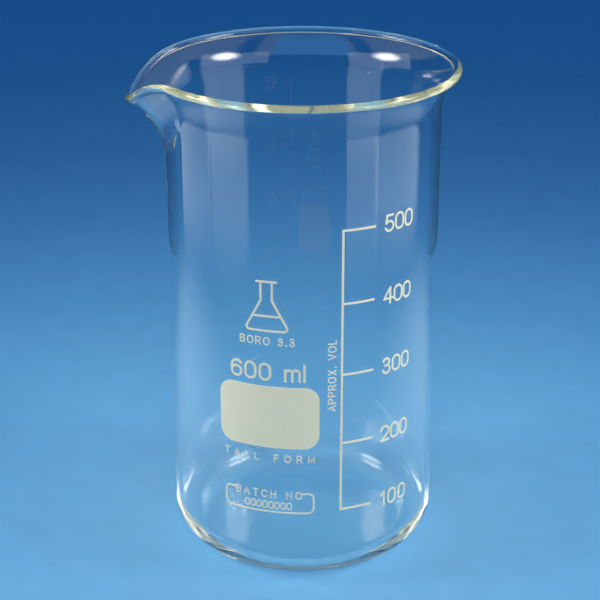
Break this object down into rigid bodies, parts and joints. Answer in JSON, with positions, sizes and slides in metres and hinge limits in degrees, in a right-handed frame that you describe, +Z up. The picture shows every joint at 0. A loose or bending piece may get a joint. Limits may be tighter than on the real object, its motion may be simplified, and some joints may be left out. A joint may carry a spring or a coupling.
{
  "type": "laboratory beaker",
  "caption": "Tall glass laboratory beaker with a flared beaded rim, a pouring spout, a rounded heel and fired white enamel volume markings on its wall.",
  "frame": {"origin": "centre of the foot, on the standing surface and on the vessel's axis", "axes": "+Z up out of the mouth, -X towards the spout, -Y towards the printed markings"},
  "size_m": [0.0964, 0.0908, 0.15],
  "materials": {
    "glass": "clear, fire-polished",
    "enamel": "fired enamel, satin",
    "writing_enamel": "fired enamel, matt"
  },
  "bodies": {
    "root": {"glass_vessel": "glass", "scale_spine": "enamel", "graduation_100": "enamel", "graduation_200": "enamel", "graduation_300": "enamel", "graduation_400": "enamel", "graduation_500": "enamel", "figure_100": "enamel", "figure_200": "enamel", "figure_300": "enamel", "figure_400": "enamel", "figure_500": "enamel", "scale_note": "enamel", "flask_sign": "enamel", "glass_type_mark": "enamel", "capacity_figure": "enamel", "writing_panel": "writing_enamel", "form_mark": "enamel", "batch_frame": "enamel", "batch_heading": "enamel", "batch_digits": "enamel"}
  },
  "joints": []
}
